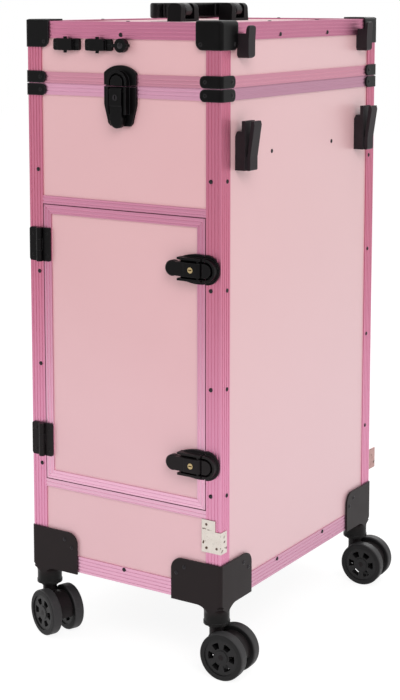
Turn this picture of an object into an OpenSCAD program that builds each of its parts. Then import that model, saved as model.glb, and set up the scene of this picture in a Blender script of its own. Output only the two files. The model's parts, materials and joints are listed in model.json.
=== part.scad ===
// Rolling makeup case: a tall trunk with a hinged lid and a front door. Boards are
// edged with ribbed aluminium angle and stand on four swivelling twin-wheel casters.
// Millimetres. The front faces -Y, +X is to the right, +Z is up, and the origin lies
// on the floor under the middle of the whole object.

/* [Case] */
// Width over the aluminium edging
case_w = 252; // [240:1:280]
// Depth over the aluminium edging
case_d = 352; // [340:1:380]
// Height of the lid's top edging above the floor
top_z = 700; // [680:1:730]
// Height of the underside of the box above the floor
base_z = 79; // [77:1:84]
// Height of the lid over its edging
lid_h = 68; // [66:1:80]
// Gap between the lid and the body
split_gap = 1; // [0.6:0.1:1.2]
// Thickness of the boards
panel_t = 5; // [4:0.5:6]

/* [Edging] */
// Thickness of the aluminium edging
strip_t = 1.5; // [1.2:0.1:1.8]
// Leg of the edging angle on the outer edges
strip_w = 18.5; // [17:0.5:20]
// Height of the closing rails on both sides of the lid split
split_rail_h = 12; // [10:0.5:13]
// Width of the rails above and below the door
cross_rail_w = 9; // [7:0.5:11]
// Pitch of the ribs that run along the edging
rib_pitch = 4; // [3:0.5:5]
// Width of the groove between two ribs
rib_groove = 1.4; // [0.8:0.1:2]
// Depth of that groove
rib_depth = 0.5; // [0.3:0.1:0.7]
// Half the gap at a mitred joint
mitre_gap = 0.1; // [0.05:0.05:0.2]

/* [Door] */
// Height of the door opening's lower edge above the floor
door_z = 182; // [172:1:190]
// Height of the door opening
door_h = 316; // [300:1:318]
// Gap round the door
door_gap = 1; // [0.8:0.1:1.4]
// Width of the door's mitred frame
door_strip_w = 10; // [8:0.5:12]

/* [Inside] */
// Height of the shelf's top above the floor
shelf_z = 335; // [280:1:380]
// Side of the square battens under the boards
batten = 12; // [8:1:15]
// How far a batten stops short of the walls
batten_short = 12; // [5:1:30]
// Gap between a loose board and the walls
board_gap = 0.5; // [0.3:0.1:1]
// How far the shelf's front edge stands back behind the door
shelf_back = 8; // [5:1:40]

/* [Hinges] */
// Thickness of a hinge leaf
leaf_t = 2; // [1.5:0.1:2.5]
// Radius of the hinge knuckles
barrel_r = 3.5; // [3.2:0.1:3.6]
// Radius of the hinge pins
hinge_pin_r = 1.5; // [1.2:0.1:1.8]
// Length of a door hinge
door_hinge_l = 38; // [34:1:50]
// Width of a door hinge's leaf from the pin
door_leaf_w = 15; // [12:0.5:15.5]
// Height of the lower door hinge's middle above the floor
door_hinge_z = 228; // [212:1:240]
// Distance between the two door hinges
door_hinge_span = 224; // [180:1:230]
// Length of a lid hinge
lid_hinge_l = 56; // [40:1:70]
// Distance of a lid hinge's middle from the side
lid_hinge_in = 61; // [58:1:75]

/* [Latches] */
// Width of the latch lever
lever_w = 15; // [13:0.5:16]
// Reach of the lever's tip from the split
lever_reach = 45; // [40:1:50]
// Inner width of the guard that stands round the lever
guard_in = 20; // [19:0.5:21]
// Wall of the guard
guard_t = 2.5; // [2:0.1:3]
// Thickness of the latch plates
latch_plate_t = 2; // [1.5:0.1:2.5]
// Height of the lever's pivot above the edging
lever_pivot_h = 7.2; // [7:0.1:8]
// Distance of the lever's pivot from the split
lever_pivot_in = 5; // [5:0.1:6]
// Radius of the lever's barrel round its pivot
lever_barrel_r = 4; // [3.5:0.1:4.1]
// Radius of the lever's pivot pin
lever_pin_r = 1.6; // [1.2:0.1:1.8]
// Radius of the key plug's bore
plug_r = 3.2; // [2.8:0.1:3.5]
// Distance of the key plug from the split
plug_in = 12; // [11:0.5:14]
// Width of the lid latch's plates
lid_plate_w = 41.5; // [36:0.5:46]
// Height of the upper door latch above the floor
upper_latch_z = 443; // [428:1:455]
// Height of the lower door latch above the floor
lower_latch_z = 232; // [220:1:245]

/* [Corners] */
// Thickness of the black corner pieces
cap_t = 2; // [1.5:0.1:2.5]
// Leg of the lid's corner caps
cap_leg = 30; // [26:1:34]
// Leg of the clips on both sides of the split
clip_leg = 25; // [22:1:30]
// Height of those clips
clip_h = 13; // [12:0.5:15]
// Leg of the foot brackets
foot_leg = 62; // [52:1:70]
// Height of the foot brackets up the box
foot_h = 45; // [40:1:50]
// Thickness of a foot bracket's sole
sole_t = 2.5; // [2:0.1:3]

/* [Casters] */
// Radius of the wheels
wheel_r = 26; // [22:0.5:26]
// Width of one wheel
wheel_w = 12; // [10:0.5:13]
// Gap between the two wheels of a caster
wheel_gap = 17; // [13.5:0.5:17.5]
// Distance of the axle behind the stem
trail = 16; // [12:0.5:18]
// Radius of the axle
axle_r = 3; // [2.5:0.1:3.5]
// Radius of the steel stem
stem_r = 4; // [3:0.1:4]
// Radius of the round boss under a foot
boss_out_r = 14; // [12:0.5:15]
// Length of that boss below the sole
boss_l = 21; // [19:0.5:21]
// Swivel of the front left caster from +X
turn_fl = -21; // [-40:1:40]
// Swivel of the front right caster from +X
turn_fr = 3; // [-40:1:40]
// Swivel of the back right caster from +X
turn_br = 5; // [-40:1:40]
// Swivel of the back left caster from +X
turn_bl = 12; // [-40:1:40]

/* [Handle] */
// Distance between the middles of the two handle brackets
bracket_span = 109; // [100:1:120]
// Length of a handle bracket
bracket_l = 38; // [34:1:42]
// Width of a handle bracket
bracket_w = 18; // [16:1:22]
// Height of a handle bracket
bracket_h = 20.5; // [19:0.5:22]
// Reach of the bow's grip from its pivot
bow_reach = 38; // [36:1:55]
// Thickness of the bow
bow_t = 17; // [12:0.5:17]
// Width of the bow's arms
bow_arm_w = 12; // [10:0.5:14]
// Length of the grip
grip_l = 140; // [130:1:150]

/* [Side table fittings] */
// Distance of the hooks' and sockets' middles from the ends of the corner caps
fitting_in = 10; // [10:1:30]
// Width of a hook
hook_w = 13.5; // [12:0.5:18]
// Height of a hook
hook_h = 34; // [30:1:38]
// Gap between a hook's tongue and the edging
hook_gap = 9; // [6:0.5:10]
// Depth of that gap
hook_slot = 8.5; // [6:0.5:11]
// Width of a socket
socket_w = 20; // [18:1:26]
// Width of a socket's tongue
tongue_w = 15; // [12:1:17]
// Height of a socket
socket_h = 52; // [46:1:56]
// Gap at the mouth of a socket
socket_mouth = 6; // [5.5:0.5:7]
// Distance of the sockets' tops below the lid split
socket_drop = 34; // [25:1:45]

/* [Hidden] */
$fn = 48;
run = 0.05;
air = 0.4;
ample = case_d;

// Colours
pink = "#E3B4BA";
rose = "#C57A98";
black = "#262526";
steel = "#C9C9CC";
brass = "#C9A24B";
board = "#D9C4B0";

// Box planes
half_w = case_w / 2;
half_d = case_d / 2;
out_x = half_w - strip_t;
out_y = half_d - strip_t;
in_x = out_x - panel_t;
in_y = out_y - panel_t;
edge_t = strip_t + panel_t;
split_z = top_z - lid_h;
body_top = split_z - split_gap / 2;
lid_bottom = split_z + split_gap / 2;
board_z = base_z + strip_t;
board_top = body_top - strip_t;

// Door planes
open_x = half_w - strip_w;
door_top = door_z + door_h;
door_x = open_x - door_gap;
door_mid_z = door_z + door_h / 2;
floor_z = door_top + strip_t + panel_t;

// Hinges
pin_lift = barrel_r + 0.2;
pin_over = 3;
leaf_round = 3;
hinge_clear_r = barrel_r + air;
knuckle_gap = 0.3;
door_pin_x = -(open_x + pin_over);

// Latches
seam = 0.8;
guard_out_r = guard_in / 2 + guard_t;
guard_top = lever_pivot_h + lever_pin_r + 0.6;
guard_step = 1;
lever_low = lever_pivot_h - lever_barrel_r;
lever_top = lever_pivot_h + lever_barrel_r;
finger_drop = 1;
tip_r = lever_w / 2 + 1;
tip_bevel = 1.5;
block_l = 16;
nose_c = 4;
nose_top = 9;
keeper_r = 16;
keeper_c = 2;
horn_in = 30;
side_r = 60;
side_c = 8;
lid_straight = 20;
lid_taper = 43;
lid_taper_w = 31;
lid_arch = 22;
lid_arch_rise = 8;
rivet_r = 2;
rivet_h = 0.7;
rivet_in = 6;

// Corner pieces
corner_round = 4;
cap_drop = 28.5;
cap_round = 8;
clip_round = 5.5;
foot_round = 13;
foot_fillet = 8;
foot_chamfer = 6;
lip_h = 3;
lip_out = 0.6;

// Casters
wheel_fillet = 2;
pair_half = wheel_gap / 2 + wheel_w;
stem_in = boss_out_r;
stem_x = half_w + cap_t - stem_in;
stem_y = half_d + cap_t - stem_in;
sole_z = base_z - sole_t;
boss_bottom = sole_z - boss_l;
neck_r = wheel_gap / 2 - air;
flange_r = 10;
flange_h = 2.6;
fork_top = boss_bottom - 0.6;
stem_low = 12;
fender_r = wheel_r - 5;
fender_low = 4;
boss_r = 8;
rim_w = 6;
web_t = 9.5;
hub_r = 7.5;
hub_inset = 0.5;
spoke_holes = 6;
hole_in_r = 9.5;
hole_out_r = 16;
hole_half_angle = 16;
hole_spread = wheel_r * tan(hole_half_angle);

// Handle
lid_face_z = top_z - strip_t;
bracket_foot = 2.8;
bow_under = 1;
bow_pivot_z = lid_face_z + bracket_foot + bow_under + bow_t / 2;
bracket_round = 6;
bracket_slope = 2;
bow_side = 3.5;
bow_round = 7;
bow_pin_r = 2.5;
grip_w = 16;
grip_round = 7.5;

// Hooks and sockets
hook_t = 3.5;
hook_lean = 1;
hook_root = 8;
hook_reach = hook_gap + hook_t + hook_lean;
hook_round = 4.5;
hook_heel = 3;
hook_top = top_z - 3;
fitting_y = half_d - cap_leg - fitting_in;
socket_z = split_z - socket_drop - socket_h;
socket_wall = 12;
socket_lip = 4;
socket_bevel = 2.5;
tongue_t = 4;
tongue_foot = 14;
step_down = 11;
socket_reach = socket_wall - strip_t + socket_mouth + tongue_t;

// Bright plates of the side table
plate_t = 1.2;
plate_raise = 13;
plate_wide = 23;
plate_notch = 6;
plate_side = 11;
plate_low_h = 24;
plate_h = 36;
plate_marks = [[-17, 31], [-17, 5], [-4, 6]];
plate_rivet_r = 1.6;
rear_reach = 16;
rear_raise = 15;
rear_h = 25;

// Small screws
screw_r = 2.3;
screw_top_r = 1.6;
screw_h = 0.9;
rail_pair = 54;
rail_mid = strip_w * 0.86;
lid_rail_mid = strip_w * 0.75;
post_mid = 12.5;
low_fitting = min(lower_latch_z - keeper_r, door_hinge_z - door_hinge_l / 2);
high_fitting = min(upper_latch_z - keeper_r, door_hinge_z + door_hinge_span - door_hinge_l / 2);
post_levels = [low_fitting - 10, (low_fitting + high_fitting) / 2 - 3, high_fitting - 6, door_top + 38];
side_pair = 69;
side_drop = 72;
side_level = split_z - side_drop;

// Clips and turn button on the front of the lid
clip_in = 55;
clip_pitch = 43;
clip_xs = [for (i = [0, 1]) clip_in + i * clip_pitch - half_w];
clip_w = 35;
clip_face_h = 12.5;
clip_foot_t = 4;
clip_t = 7.5;
clip_body = 0.55;
clip_pin_r = 2;
clip_pin_h = 5.5;
clip_pin_l = clip_face_h + 5;
front_clip_z = top_z - strip_w - clip_face_h / 2 - 0.3;
button_in = 130;
button_x = button_in - half_w;
button_r = 7.5;
button_point = 11;
button_nose = 8.8;
button_root = button_r * 0.55;
button_tip = 1.2;
button_back = strip_t + screw_h + air;
button_t = 6;
button_pin_r = 2;
button_seat_r = 4;
button_head_r = 3.6;
button_head_h = 1.4;

// Reach of one caster from its stem along a direction at angle a to its trail
function wheel_span(a) = (wheel_r - wheel_fillet) * abs(cos(a))
    + (pair_half - wheel_fillet) * abs(sin(a)) + wheel_fillet;
casters = [[-1, -1, turn_fl], [1, -1, turn_fr], [1, 1, turn_br], [-1, 1, turn_bl]];
function caster_x(c, s) = c[0] * stem_x + trail * cos(c[2]) + s * wheel_span(c[2]);
function caster_y(c, s) = c[1] * stem_y + trail * sin(c[2]) + s * wheel_span(90 - c[2]);
latch_proud = lever_top + 0.4;
x_low = min(-half_w - cap_t, min([for (c = casters) caster_x(c, -1)]));
x_high = max(half_w + max(hook_reach, socket_reach), max([for (c = casters) caster_x(c, 1)]));
y_low = min(-half_d - latch_proud, min([for (c = casters) caster_y(c, -1)]));
y_high = max(half_d + rear_reach, max([for (c = casters) caster_y(c, 1)]));
shift_x = -(x_low + x_high) / 2;
shift_y = -(y_low + y_high) / 2;
echo(shift_x = shift_x, shift_y = shift_y);

// Moves a piece from the box's own middle to the whole object's middle
module placed() {
    translate([shift_x, shift_y, 0]) children();
}

// A board between two corners
module slab(low, high) {
    translate(low) cube(high - low);
}

// Copies a piece drawn at the +X +Y corner to the four corners
module four_corners(x, y) {
    for (sx = [0, 1], sy = [0, 1])
        mirror([sx, 0, 0]) mirror([0, sy, 0]) translate([x, y, 0]) children();
}

// Removes a square corner at the origin and leaves a round of radius r
module nib(r) {
    difference() {
        translate([-1, -1]) square(r + 1);
        translate([r, r]) circle(r);
    }
}

// A rectangle whose corners are rounded, centred on the origin
module round_rect(w, h, r) {
    square([w - 2 * r, h], center = true);
    square([w, h - 2 * r], center = true);
    for (sx = [-1, 1], sy = [-1, 1])
        translate([sx * (w / 2 - r), sy * (h / 2 - r)]) circle(r);
}

// Edging: an angle of two legs with grooves along both outer faces
function rib_starts(leg) = [for (s = [rib_pitch - rib_groove : rib_pitch : leg - rib_groove - 1]) s];
function ribbed(leg) = [for (s = rib_starts(leg), p = [[s, 0], [s, rib_depth],
    [s + rib_groove, rib_depth], [s + rib_groove, 0]]) p];
function swapped(points) = [for (i = [len(points) - 1 : -1 : 0]) [points[i][1], points[i][0]]];
module angle_profile(flat, up) {
    polygon(concat([[0, 0]], ribbed(flat), [[flat, 0], [flat, strip_t], [strip_t, strip_t],
        [strip_t, up], [0, up]], swapped(ribbed(up))));
}

// One mitred length of angle: its outer corner runs along X at the front bottom edge
module rail(length, flat, up) {
    half = length / 2;
    intersection() {
        translate([-half, 0, 0]) rotate([90, 0, 90]) linear_extrude(length)
            angle_profile(flat, up);
        linear_extrude(up) polygon([[mitre_gap - half, 0], [half - mitre_gap, 0],
            [half - flat - mitre_gap, flat], [flat + mitre_gap - half, flat]]);
    }
}

// Four mitred lengths round a rectangle, with the flat legs at the bottom
module edge_ring(w, d, flat, up) {
    for (i = [0 : 3]) {
        length = i % 2 == 0 ? w : d;
        off = i % 2 == 0 ? d / 2 : w / 2;
        rotate(90 * i) translate([0, -off, 0]) rail(length, flat, up);
    }
}

// Upright angle at each of the four corners
module posts(low, high) {
    four_corners(half_w, half_d) translate([0, 0, low]) rotate(180)
        linear_extrude(high - low) angle_profile(strip_w, strip_w);
}

// Black corner pieces: two legs that wrap an upright edge, free ends rounded
module angle_plan(leg) {
    difference() {
        translate([-leg, -leg]) square(leg + cap_t);
        translate([-leg - 1, -leg - 1]) square(leg + 1);
        translate([cap_t, cap_t]) rotate(180) nib(corner_round);
    }
}
module wrap(leg, h, r_low, r_high) {
    difference() {
        linear_extrude(h) angle_plan(leg);
        for (m = [0, 1]) mirror([m, -m, 0]) translate([-leg, cap_t + 1, 0]) rotate([90, 0, 0])
            linear_extrude(cap_t + 2) {
                if (r_low > 0) nib(r_low);
                if (r_high > 0) translate([0, h]) mirror([0, 1]) nib(r_high);
            }
    }
}
module rivet_on_legs(along, z) {
    for (m = [0, 1])
        mirror([m, -m, 0]) translate([-along, cap_t, z]) rotate([-90, 0, 0])
            cylinder(r1 = rivet_r, r2 = rivet_r * 0.7, h = rivet_h);
}
module edge_clips(z) {
    four_corners(half_w, half_d) translate([0, 0, z]) {
        wrap(clip_leg, clip_h, clip_round, clip_round);
        rivet_on_legs(clip_leg - clip_h / 2, clip_h / 2);
    }
}

// Boards of the body
module left_panel() {
    placed() color(pink) slab([-out_x, -out_y, board_z], [-in_x, out_y, board_top]);
}
module right_panel() {
    placed() color(pink) slab([in_x, -out_y, board_z], [out_x, out_y, board_top]);
}
module back_panel() {
    placed() color(pink) slab([-in_x, in_y, board_z], [in_x, out_y, board_top]);
}
module front_panel() {
    placed() color(pink) difference() {
        slab([-in_x, -out_y, board_z], [in_x, -in_y, board_top]);
        slab([-open_x, -half_d, door_z - strip_t], [open_x, 0, door_top + strip_t]);
    }
}
module bottom_panel() {
    placed() color(board) slab([-in_x, -in_y, board_z], [in_x, in_y, board_z + panel_t]);
}
module loose_board(top, front) {
    slab([board_gap - in_x, front, top - panel_t], [in_x - board_gap, in_y - board_gap, top]);
}
module compartment_floor() {
    placed() color(board) loose_board(floor_z, board_gap - in_y);
}
module shelf_board() {
    placed() color(board) loose_board(shelf_z, shelf_back - in_y);
}
module battens() {
    placed() color(board) for (z = [floor_z, shelf_z] - [panel_t, panel_t], m = [0, 1])
        mirror([m, 0, 0]) slab([in_x - batten, shelf_back + batten_short - in_y, z - batten],
            [in_x, in_y - batten_short, z]);
}

// Edging of the body
module corner_posts() {
    placed() color(rose) posts(base_z + strip_w, body_top - split_rail_h);
}
module body_rails() {
    placed() color(rose) {
        translate([0, 0, base_z]) edge_ring(case_w, case_d, strip_w, strip_w);
        translate([0, 0, body_top]) mirror([0, 0, 1])
            edge_ring(case_w, case_d, edge_t, split_rail_h);
    }
}
module cross_rail() {
    rotate([90, 0, 90]) linear_extrude(2 * open_x, center = true)
        angle_profile(edge_t, cross_rail_w);
}
module door_cross_rails() {
    placed() color(rose) {
        translate([0, -half_d, door_top]) cross_rail();
        translate([0, -half_d, door_z]) mirror([0, 0, 1]) cross_rail();
    }
}

// Feet: two plates up the sides, a sole, and a round boss that flares into it and holds the stem
module boss_profile() {
    square([boss_out_r, boss_l + sole_t]);
    square([boss_out_r + lip_out, lip_h]);
    translate([boss_out_r, boss_l]) mirror([0, 1]) nib(foot_fillet);
}
module foot() {
    boss_c = cap_t - stem_in;
    difference() {
        union() {
            translate([0, 0, sole_z]) wrap(foot_leg, foot_h + sole_t, 0, foot_round);
            translate([0, 0, sole_z]) linear_extrude(sole_t)
                polygon([[0, 0], [0, -foot_leg], [-foot_leg, 0]]);
            intersection() {
                translate([boss_c, boss_c, boss_bottom]) rotate_extrude() boss_profile();
                translate([cap_t - foot_leg, cap_t - foot_leg, 0]) cube([foot_leg, foot_leg, base_z]);
            }
        }
        translate([boss_c, boss_c, boss_bottom - 1]) cylinder(r = stem_r, h = boss_l + sole_t + 2);
        translate([cap_t, cap_t, sole_z]) rotate([0, 0, 45]) rotate([0, 45, 0])
            cube([foot_chamfer, 4 * foot_chamfer, foot_chamfer], center = true);
    }
}
module foot_brackets() {
    placed() color(black) four_corners(half_w, half_d) foot();
}
module caster_stems() {
    placed() color(steel) four_corners(stem_x, stem_y)
        translate([0, 0, fork_top - stem_low]) cylinder(r = stem_r, h = base_z - fork_top + stem_low);
}
module body_edge_clips() {
    placed() color(black) edge_clips(body_top - clip_h);
}

// Latches: drawn with the split along X, the keeper towards +Y and the face towards +Z
module lid_plate_outline() {
    corner = lid_taper_w / 2;
    polygon([[-lid_plate_w / 2, -seam], [lid_plate_w / 2, -seam],
        [lid_plate_w / 2, -lid_straight], [corner, -lid_taper + 3], [corner - 3, -lid_taper],
        [3 - corner, -lid_taper], [-corner, -lid_taper + 3], [-lid_plate_w / 2, -lid_straight]]);
}
module lid_keeper_outline() {
    arch_r = (pow(lid_plate_w / 2, 2) + pow(lid_arch_rise, 2)) / (2 * lid_arch_rise);
    intersection() {
        translate([-lid_plate_w / 2, seam]) square([lid_plate_w, lid_arch]);
        translate([0, lid_arch - arch_r]) circle(arch_r, $fn = 96);
    }
}
module door_plate_outline() {
    intersection() {
        translate([-keeper_r, -horn_in]) square([2 * keeper_r, horn_in - seam]);
        translate([keeper_r - side_r, -side_c]) circle(side_r, $fn = 96);
        translate([side_r - keeper_r, -side_c]) circle(side_r, $fn = 96);
    }
}
module door_keeper_outline() {
    intersection() {
        translate([-keeper_r, seam]) square([2 * keeper_r, keeper_r + keeper_c]);
        translate([0, keeper_c]) circle(keeper_r);
    }
}
// Plate on the edging of width rail_w, thickened down to the board beyond it
module seated_plate(rail_w) {
    linear_extrude(latch_plate_t) children();
    for (s = [-1, 1]) intersection() {
        translate([0, 0, -strip_t]) linear_extrude(strip_t + 0.1) children();
        translate([-ample / 2, s > 0 ? rail_w : -ample - rail_w, -ample / 2]) cube(ample);
    }
}
module latch_base_top() {
    for (s = [-1, 1]) translate([s * (guard_in + guard_t) / 2, 0, 0])
        translate([-guard_t / 2, -horn_in, 0]) cube([guard_t, horn_in - seam, guard_top]);
    translate([0, -lever_pivot_in, lever_pivot_h]) rotate([0, 90, 0])
        cylinder(r = lever_pin_r, h = guard_in + guard_t, center = true);
}
// A round on a straight foot, as the nose and the guard round it are shaped
module nose_outline(r) {
    translate([0, nose_c]) circle(r);
    translate([-r, 0]) square([2 * r, nose_c]);
}
module latch_keeper_top() {
    intersection() {
        union() {
            linear_extrude(guard_top - guard_step) difference() {
                nose_outline(guard_out_r);
                nose_outline(guard_in / 2);
            }
            linear_extrude(nose_top) nose_outline(lever_w / 2);
        }
        translate([-ample / 2, seam, 0]) cube(ample);
    }
}
module latch_lever() {
    bar_l = lever_reach - tip_r - lever_pivot_in;
    bar_t = 2 * lever_barrel_r - finger_drop;
    difference() {
        union() {
            translate([-lever_w / 2, tip_r - lever_reach, lever_low]) cube([lever_w, bar_l, bar_t]);
            translate([0, tip_r - lever_reach, lever_low]) {
                cylinder(r = tip_r, h = bar_t - tip_bevel);
                translate([0, 0, bar_t - tip_bevel])
                    cylinder(r1 = tip_r, r2 = tip_r - tip_bevel, h = tip_bevel);
            }
            translate([-lever_w / 2, -lever_pivot_in - block_l, lever_low])
                cube([lever_w, block_l, 2 * lever_barrel_r]);
            translate([0, -lever_pivot_in, lever_pivot_h]) rotate([0, 90, 0])
                cylinder(r = lever_barrel_r, h = lever_w, center = true);
        }
        translate([0, -lever_pivot_in, lever_pivot_h]) rotate([0, 90, 0])
            cylinder(r = lever_pin_r + run, h = lever_w + 2, center = true);
        translate([0, -plug_in, lever_low - 1]) cylinder(r = plug_r, h = 2 * lever_barrel_r + 2);
    }
}
module latch_plug() {
    difference() {
        translate([0, -plug_in, lever_low]) cylinder(r = plug_r - run, h = 2 * lever_barrel_r + 0.4);
        translate([-0.6, -plug_in - 2, lever_top - 3]) cube([1.2, 4, 5]);
    }
}
module on_lid_front() {
    placed() translate([0, -half_d, split_z]) rotate([90, 0, 0]) children();
}
module on_door(z) {
    placed() translate([open_x - door_gap / 2, -half_d, z]) rotate([90, 0, 0]) rotate([0, 0, -90])
        children();
}
module lid_latch_base() {
    color(black) on_lid_front() {
        seated_plate(split_rail_h + split_gap / 2) lid_plate_outline();
        latch_base_top();
    }
}
module lid_latch_keeper() {
    color(black) on_lid_front() {
        seated_plate(split_rail_h + split_gap / 2) lid_keeper_outline();
        latch_keeper_top();
    }
}
module door_latch_bases() {
    color(black) for (z = [upper_latch_z, lower_latch_z]) on_door(z) {
        seated_plate(door_strip_w + door_gap / 2) door_plate_outline();
        latch_base_top();
    }
}
module door_latch_keepers() {
    color(black) for (z = [upper_latch_z, lower_latch_z]) on_door(z) {
        linear_extrude(latch_plate_t) door_keeper_outline();
        latch_keeper_top();
    }
}
module lid_latch_lever() {
    color(black) on_lid_front() latch_lever();
}
module lid_latch_plug() {
    color(black) on_lid_front() latch_plug();
}
module upper_latch_lever() {
    color(black) on_door(upper_latch_z) latch_lever();
}
module upper_latch_plug() {
    color(brass) on_door(upper_latch_z) latch_plug();
}
module lower_latch_lever() {
    color(black) on_door(lower_latch_z) latch_lever();
}
module lower_latch_plug() {
    color(brass) on_door(lower_latch_z) latch_plug();
}

// Butt hinges: the pin runs along Z, the face looks to -Y, the moving leaf lies at +X
// Each hinge has three equal knuckles: the outer two and the pin belong to the fixed leaf
module leaf(length, w) {
    rotate([90, 0, 0]) linear_extrude(leaf_t) difference() {
        square([w, length]);
        translate([w, 0]) rotate(90) nib(leaf_round);
        translate([w, length]) rotate(180) nib(leaf_round);
    }
}
module fixed_leaf(length, w) {
    end = (length - knuckle_gap) / 3;
    difference() {
        union() {
            mirror([1, 0, 0]) leaf(length, w);
            for (z = [0, length - end]) translate([0, -pin_lift, z]) cylinder(r = barrel_r, h = end);
        }
        translate([0, -pin_lift, end]) cylinder(r = hinge_clear_r, h = length - 2 * end);
    }
    translate([0, -pin_lift, 0]) cylinder(r = hinge_pin_r, h = length);
}
module moving_leaf(length, w) {
    end = (length - knuckle_gap) / 3 + knuckle_gap;
    difference() {
        union() {
            leaf(length, w);
            translate([0, -pin_lift, end]) cylinder(r = barrel_r, h = length - 2 * end);
        }
        for (z = [-1, length - end]) translate([0, -pin_lift, z]) cylinder(r = hinge_clear_r, h = end + 1);
        translate([0, -pin_lift, -1]) cylinder(r = hinge_pin_r + run, h = length + 2);
    }
}
module at_door_hinges() {
    placed() for (z = [door_hinge_z, door_hinge_z + door_hinge_span])
        translate([door_pin_x, -half_d, z - door_hinge_l / 2]) children();
}
module at_lid_hinges() {
    placed() for (s = [-1, 1])
        translate([s * (half_w - lid_hinge_in) - lid_hinge_l / 2, half_d, split_z]) rotate([180, -90, 0])
            children();
}
module leaf_screws(length, x) {
    for (z = [0.18, 0.82] * length) translate([x, -leaf_t, z]) rotate([90, 0, 0])
        cylinder(r1 = rivet_r, r2 = rivet_r * 0.7, h = rivet_h);
}
module door_hinge_frame_leaves() {
    color(black) at_door_hinges() {
        fixed_leaf(door_hinge_l, door_leaf_w);
        leaf_screws(door_hinge_l, -door_leaf_w * 0.62);
    }
}
module door_hinge_leaves() {
    color(black) at_door_hinges() {
        moving_leaf(door_hinge_l, door_leaf_w - 1);
        leaf_screws(door_hinge_l, door_leaf_w * 0.62);
    }
}
module lid_hinge_body_leaves() {
    color(black) at_lid_hinges() fixed_leaf(lid_hinge_l, split_rail_h);
}
module lid_hinge_leaves() {
    color(black) at_lid_hinges() moving_leaf(lid_hinge_l, split_rail_h);
}

// Fittings for a side table on the right side
module socket() {
    wall_x = socket_wall - strip_t;
    lip_x = wall_x - socket_lip;
    step = socket_h - step_down;
    root_x = wall_x + 1;
    lean = socket_mouth - 1;
    rotate([90, 0, 0]) linear_extrude(socket_w, center = true)
        polygon([[-strip_t, 0], [wall_x, 0], [wall_x, socket_h], [lip_x, socket_h], [lip_x, step],
            [socket_bevel - strip_t, step], [-strip_t, step - 2 * socket_bevel]]);
    rotate([90, 0, 0]) linear_extrude(tongue_w, center = true)
        polygon([[wall_x - 1, 0], [wall_x + tongue_t, 0], [root_x + tongue_t, 1],
            [root_x + tongue_t, tongue_foot], [root_x + lean + tongue_t, socket_h - 4],
            [wall_x + lean + tongue_t, socket_h], [root_x + lean, socket_h], [root_x, tongue_foot],
            [wall_x - 1, tongue_foot]]);
}
module tray_sockets() {
    placed() color(black) for (s = [-1, 1]) translate([half_w, s * fitting_y, socket_z]) socket();
}
module hook() {
    intersection() {
        rotate([90, 0, 0]) linear_extrude(hook_w, center = true) hook_side();
        translate([-strip_t, 0, -hook_h / 2]) rotate([90, 0, 90]) linear_extrude(strip_t + hook_reach)
            round_rect(hook_w, hook_h, hook_round);
    }
}
module hook_side() {
    seat_h = hook_h - strip_w + top_z - hook_top - 0.2;
    tip = [hook_gap + hook_lean + hook_t / 2, -hook_t / 2];
    translate([-strip_t, -hook_h]) square([strip_t + 0.1, seat_h]);
    difference() {
        translate([0, -hook_h]) square([hook_gap + hook_t, hook_h - hook_slot]);
        translate([hook_gap + hook_t, -hook_h]) rotate(90) nib(hook_heel);
    }
    polygon([[hook_gap, -hook_slot - 1], [hook_gap + hook_t, -hook_slot - hook_root],
        tip + [hook_t / 2, 0], tip - [hook_t / 2, 0]]);
    translate(tip) circle(hook_t / 2);
}
module tray_hooks() {
    placed() color(black) for (s = [-1, 1]) translate([half_w, s * fitting_y, hook_top]) hook();
}
// Bright plate round the front right edge above the foot, with a stepped top
module corner_plate() {
    placed() color(steel) translate([half_w, -half_d, base_z + foot_h + plate_raise]) {
        translate([-plate_wide, -plate_t, 0]) cube([plate_wide - plate_notch, plate_t, plate_h]);
        translate([-plate_wide, -plate_t, 0]) cube([plate_wide + plate_t, plate_t, plate_low_h]);
        translate([0, -plate_t, 0]) cube([plate_t, plate_side + plate_t, plate_low_h]);
        for (p = plate_marks) translate([p[0], -plate_t, p[1]]) rotate([90, 0, 0])
            cylinder(r1 = plate_rivet_r, r2 = plate_rivet_r * 0.7, h = rivet_h);
    }
}
// Bright angle bracket that stands proud of the back beside the right edge
module rear_bracket() {
    placed() color(steel) translate([half_w, half_d, base_z + foot_h + rear_raise]) {
        translate([-strip_w, 0, 0]) cube([strip_w, plate_t, rear_h]);
        translate([-plate_t, 0, 0]) cube([plate_t, rear_reach, rear_h]);
    }
}

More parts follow.
